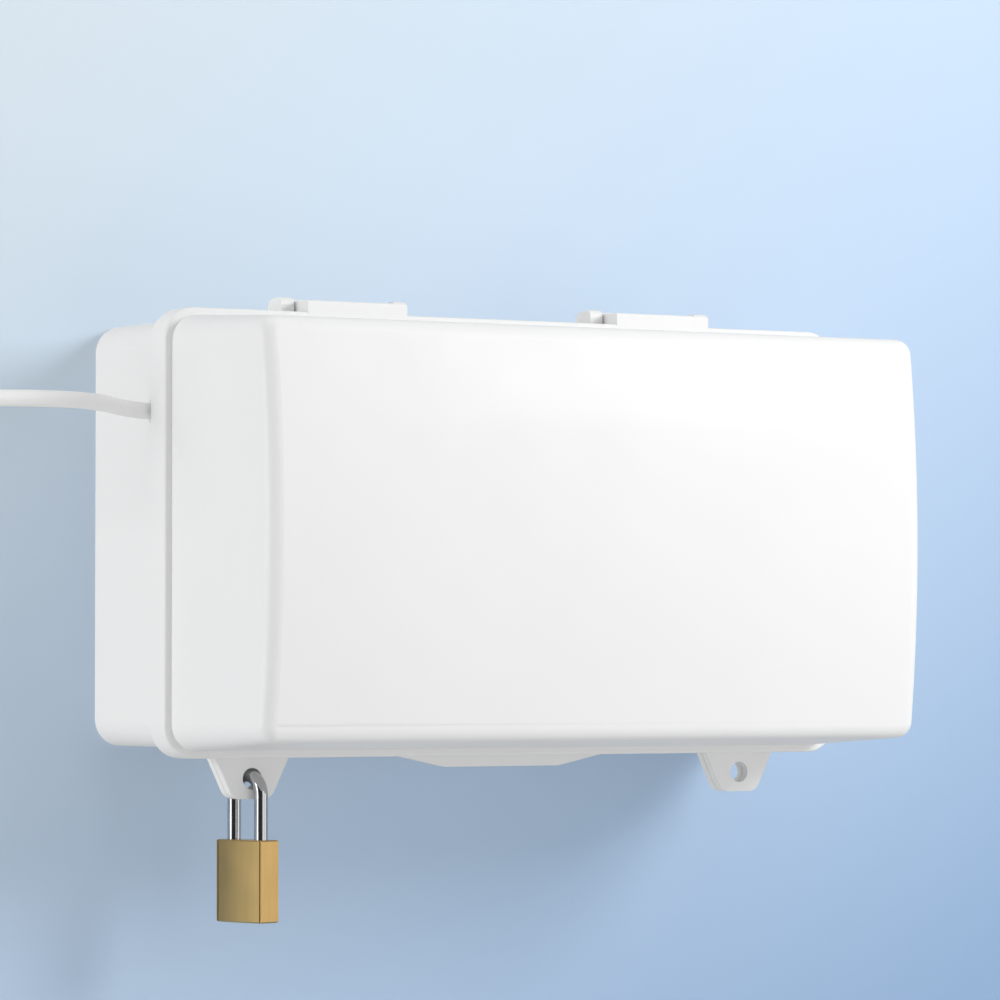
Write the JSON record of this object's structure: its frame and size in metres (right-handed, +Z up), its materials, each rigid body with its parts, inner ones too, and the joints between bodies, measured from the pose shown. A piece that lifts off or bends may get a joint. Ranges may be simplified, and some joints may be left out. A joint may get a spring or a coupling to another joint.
{
  "type": "weatherproof outlet box",
  "caption": "Lockable wall-mounted weatherproof box: hinged bulged cover, sealed tray, outlet strip with switch inside, cable entry, lock lugs and a small padlock.",
  "frame": {"origin": "centre of the box's back face, on the wall and at the middle of the four wall screws", "axes": "+X right seen from the front, +Y into the wall, +Z up"},
  "size_m": [0.4506, 0.144, 0.2498],
  "materials": {
    "white_shell": "satin white moulded plastic with a fine even grain",
    "seal": "soft extruded rubber",
    "steel_pin": "drawn steel",
    "grommet": "soft light grey rubber",
    "strip_white": "white flame-retardant plastic",
    "cup_white": "white flame-retardant plastic",
    "contact_brass": "stamped brass",
    "earth_steel": "nickel-plated spring steel",
    "rocker_grey": "dark grey plastic",
    "screw_steel": "zinc-plated steel",
    "cable_white": "smooth white cable sheath",
    "shackle_chrome": "hardened steel with bright chrome plating",
    "lock_brass": "machined brass with a vertical brushed grain",
    "plug_nickel": "nickel-plated brass"
  },
  "bodies": {
    "base": {"base_tray": "white_shell", "tray_lug_left": "white_shell", "tray_lug_right": "white_shell", "rim_seal": "seal", "hinge_pin_left": "steel_pin", "hinge_pin_right": "steel_pin", "cable_grommet": "grommet", "blank_grommet": "grommet", "strip_back": "strip_white", "strip_body": "strip_white", "outlet_cup_1": "cup_white", "outlet_cup_2": "cup_white", "outlet_cup_3": "cup_white", "outlet_cup_4": "cup_white", "line_bar": "contact_brass", "neutral_bar": "contact_brass", "earth_bar": "earth_steel", "switch_frame": "strip_white", "strip_screws": "screw_steel", "case_screws": "screw_steel", "strip_boot": "grommet", "inner_lead": "cable_white", "supply_cord": "cable_white", "wall_bush": "grommet"},
    "lid": {"lid_cover": "white_shell", "cover_lug_left": "white_shell", "cover_lug_right": "white_shell"},
    "rocker": {"rocker_switch": "rocker_grey"},
    "shackle": {"padlock_shackle": "shackle_chrome"},
    "lock": {"padlock_body": "lock_brass"},
    "key_plug": {"lock_plug": "plug_nickel"}
  },
  "joints": [
    {"name": "lid_hinge", "type": "hinge", "parent": "base", "child": "lid", "pos_m": [0, -0.0542, 0.09], "axis": [-1, 0, 0], "range_deg": [0, 105]},
    {"name": "rocker_tip", "type": "hinge", "parent": "base", "child": "rocker", "pos_m": [0.116, -0.0425, 0], "axis": [0, 0, -1], "range_deg": [0, 16]},
    {"name": "padlock_swing", "type": "hinge", "parent": "base", "child": "shackle", "pos_m": [-0.1165, -0.05815, -0.0973], "axis": [0, 1, 0], "range_deg": [-12, 12]},
    {"name": "padlock_drop", "type": "slide", "parent": "shackle", "child": "lock", "axis": [0, 0, -1], "range_m": [0, 0.0075]},
    {"name": "key_turn", "type": "hinge", "parent": "lock", "child": "key_plug", "pos_m": [-0.1165, -0.05815, -0.15], "axis": [0, 0, 1], "range_deg": [0, 90]}
  ]
}
